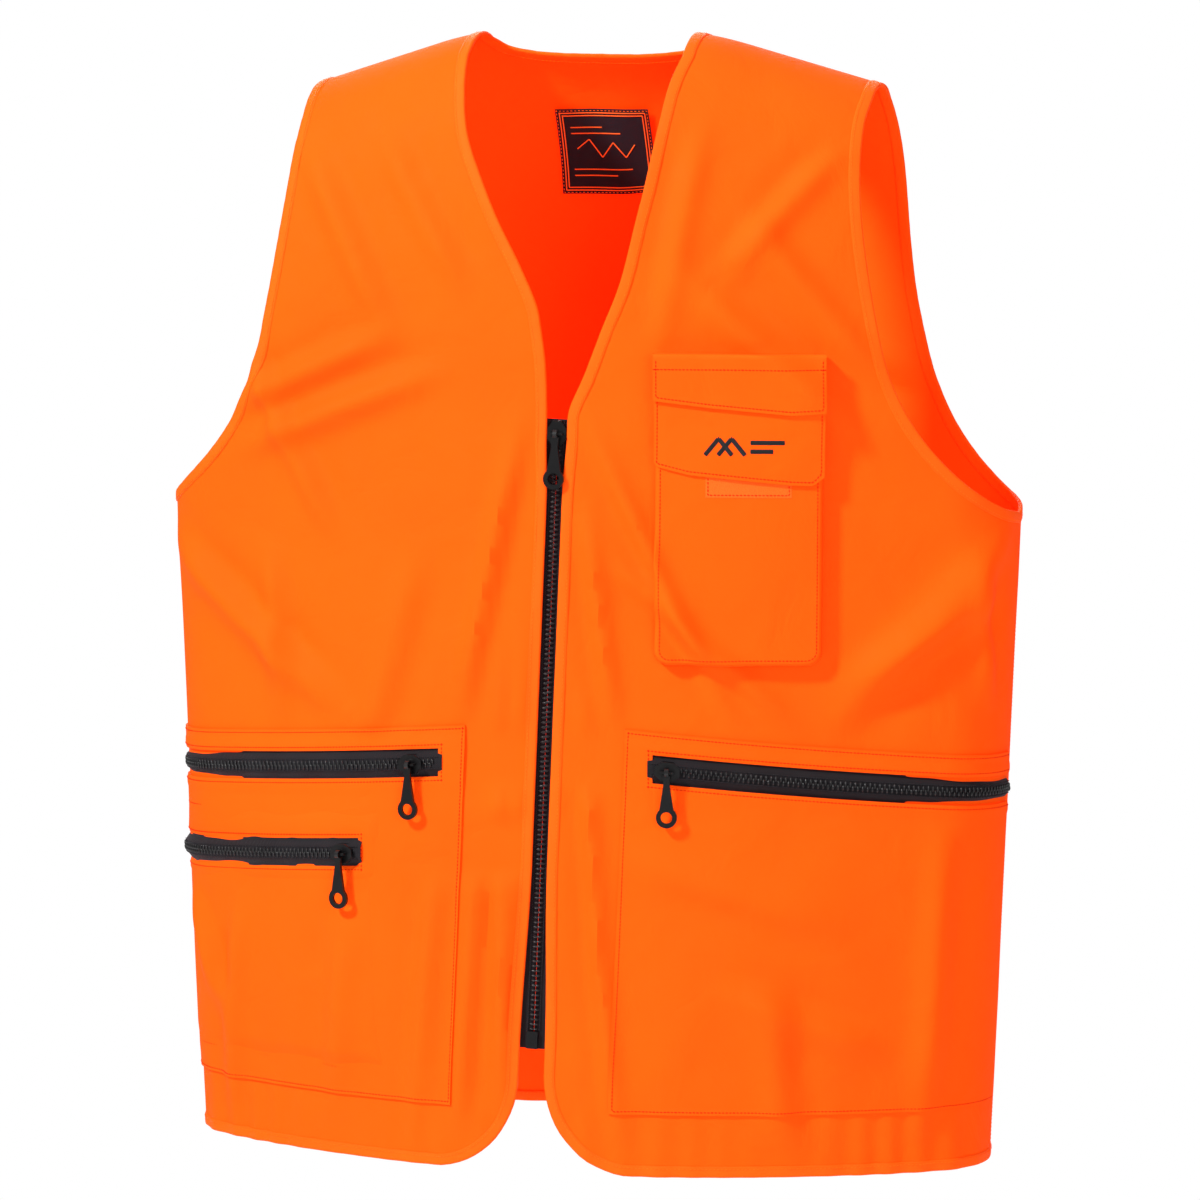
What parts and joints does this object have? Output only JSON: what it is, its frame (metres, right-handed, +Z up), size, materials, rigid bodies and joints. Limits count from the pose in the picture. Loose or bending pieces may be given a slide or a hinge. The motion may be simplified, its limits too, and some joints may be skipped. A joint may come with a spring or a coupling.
{
  "type": "safety vest",
  "caption": "Sleeveless zip-front field vest in blaze orange, V neck, bound edges, zipped lower pockets and a flapped chest pouch.",
  "frame": {"origin": "midway between the shoulder seams where they meet the neck, the point a hanger or a wearer carries", "axes": "+Z up, -Y out of the front, +X towards the wearer's left"},
  "size_m": [0.5608, 0.2303, 0.7187],
  "materials": {
    "blaze_cloth": "smooth satin weave",
    "edge_binding": "soft satin tape",
    "zip_tape": "black woven tape",
    "zip_plastic": "moulded, gloss black",
    "pull_plastic": "moulded, gloss black",
    "label_cloth": "woven, dark navy",
    "hook_patch": "orange hook fastener"
  },
  "bodies": {
    "vest": {"back_panel": "blaze_cloth", "back_neck_binding": "edge_binding", "back_hem_binding": "edge_binding", "neck_label": "label_cloth", "neck_binding_left": "edge_binding", "armhole_binding_front_left": "edge_binding", "armhole_binding_back_left": "edge_binding", "neck_binding_right": "edge_binding", "armhole_binding_front_right": "edge_binding", "armhole_binding_back_right": "edge_binding", "front_left_upper": "blaze_cloth", "front_right_upper": "blaze_cloth"},
    "front_left": {"front_left_lower": "blaze_cloth", "front_binding_left": "edge_binding", "armhole_binding_lower_left": "edge_binding", "zip_tape_left": "zip_tape", "zip_chain_left": "zip_plastic", "zip_box": "zip_plastic", "pocket_left": "blaze_cloth", "pocket_left_zip_tape": "zip_tape", "pocket_left_zip_chain": "zip_plastic", "chest_pouch": "blaze_cloth", "hook_patch": "hook_patch"},
    "front_right": {"front_right_lower": "blaze_cloth", "front_binding_right": "edge_binding", "armhole_binding_lower_right": "edge_binding", "zip_tape_right": "zip_tape", "zip_chain_right": "zip_plastic", "pocket_right": "blaze_cloth", "pocket_right_zip_tape": "zip_tape", "pocket_right_zip_chain": "zip_plastic", "small_pocket": "blaze_cloth", "small_pocket_zip_tape": "zip_tape", "small_pocket_zip_chain": "zip_plastic"},
    "main_slider": {"zip_slider": "pull_plastic"},
    "main_pull": {"zip_pull": "pull_plastic"},
    "left_pocket_slider": {"pocket_left_zip_slider": "pull_plastic"},
    "left_pocket_pull": {"pocket_left_zip_pull": "pull_plastic"},
    "right_pocket_slider": {"pocket_right_zip_slider": "pull_plastic"},
    "right_pocket_pull": {"pocket_right_zip_pull": "pull_plastic"},
    "small_pocket_slider": {"small_pocket_zip_slider": "pull_plastic"},
    "small_pocket_pull": {"small_pocket_zip_pull": "pull_plastic"},
    "lower_flap": {"chest_flap_lower": "blaze_cloth"},
    "upper_flap": {"chest_flap_upper": "blaze_cloth"}
  },
  "joints": [
    {"name": "front_left_swing", "type": "hinge", "parent": "vest", "child": "front_left", "pos_m": [0.2695, 0, -0.5115], "axis": [0.0407, 0, 0.9992], "range_deg": [0, 30]},
    {"name": "front_right_swing", "type": "hinge", "parent": "vest", "child": "front_right", "pos_m": [-0.2695, 0, -0.5115], "axis": [0.0407, 0, -0.9992], "range_deg": [0, 30]},
    {"name": "main_zip_slide", "type": "slide", "parent": "front_left", "child": "main_slider", "axis": [-0.0351, -0.0283, -0.999], "range_m": [0, 0.3684]},
    {"name": "main_pull_swing", "type": "hinge", "parent": "main_slider", "child": "main_pull", "pos_m": [0.00269, -0.10393, -0.2509], "axis": [-0.9994, 0, 0.0351], "range_deg": [0, 170]},
    {"name": "left_pocket_zip_slide", "type": "hinge", "parent": "front_left", "child": "left_pocket_slider", "pos_m": [0, 0.42953, -0.455], "axis": [0.085, 0, 0.9964], "range_deg": [0, 15.98]},
    {"name": "left_pocket_pull_swing", "type": "hinge", "parent": "left_pocket_slider", "child": "left_pocket_pull", "pos_m": [0.07632, -0.11084, -0.46149], "axis": [-0.9902, -0.1398, 0], "range_deg": [0, 170]},
    {"name": "right_pocket_zip_slide", "type": "hinge", "parent": "front_right", "child": "right_pocket_slider", "pos_m": [0, 0.42953, -0.455], "axis": [0.085, 0, -0.9964], "range_deg": [0, 14.17]},
    {"name": "right_pocket_pull_swing", "type": "hinge", "parent": "right_pocket_slider", "child": "right_pocket_pull", "pos_m": [-0.09329, -0.10815, -0.46293], "axis": [-0.9853, 0.171, 0], "range_deg": [0, 170]},
    {"name": "small_pocket_zip_slide", "type": "hinge", "parent": "front_right", "child": "small_pocket_slider", "pos_m": [0, 0.406, -0.511], "axis": [0.085, 0, -0.9964], "range_deg": [0, 9.48]},
    {"name": "small_pocket_pull_swing", "type": "hinge", "parent": "small_pocket_slider", "child": "small_pocket_pull", "pos_m": [-0.14132, -0.10221, -0.52301], "axis": [-0.9634, 0.2679, 0], "range_deg": [0, 170]},
    {"name": "lower_flap_lift", "type": "hinge", "parent": "front_left", "child": "lower_flap", "pos_m": [0.11808, -0.09024, -0.19957], "axis": [-0.9822, -0.1879, 0.0039], "range_deg": [0, 75]},
    {"name": "upper_flap_lift", "type": "hinge", "parent": "lower_flap", "child": "upper_flap", "pos_m": [0.11997, -0.10016, -0.19946], "axis": [-0.9822, -0.1879, 0.0039], "range_deg": [0, 60]}
  ]
}
